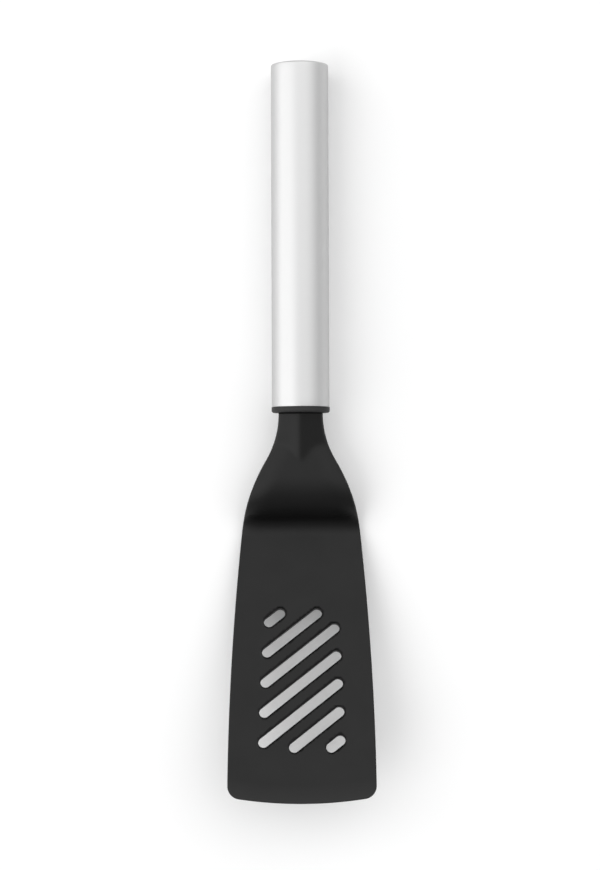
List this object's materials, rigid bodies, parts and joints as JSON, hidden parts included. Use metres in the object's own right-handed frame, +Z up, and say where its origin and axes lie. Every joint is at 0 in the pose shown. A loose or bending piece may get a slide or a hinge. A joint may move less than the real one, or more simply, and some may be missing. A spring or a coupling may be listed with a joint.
{
  "type": "turner",
  "caption": "Slotted kitchen turner: straight steel tube handle, charcoal collar and a black cranked blade with parallel diagonal slots.",
  "frame": {"origin": "middle of the box's underside, on the surface that the turner lies on", "axes": "+Z up, +Y towards the far end of the handle, -Y towards the tip of the blade, +X across"},
  "size_m": [0.064, 0.3192, 0.0364],
  "materials": {
    "steel": "matt stainless steel, finely ground around the tube",
    "core_steel": "plain stainless steel rod, pressed flat at its front end",
    "collar_plastic": "charcoal nylon, smooth matt",
    "nylon": "black glass-filled nylon with a fine satin mould texture"
  },
  "bodies": {
    "root": {"handle_tube": "steel", "end_cap": "steel", "collar": "collar_plastic", "tang": "core_steel", "head": "nylon"}
  },
  "joints": []
}
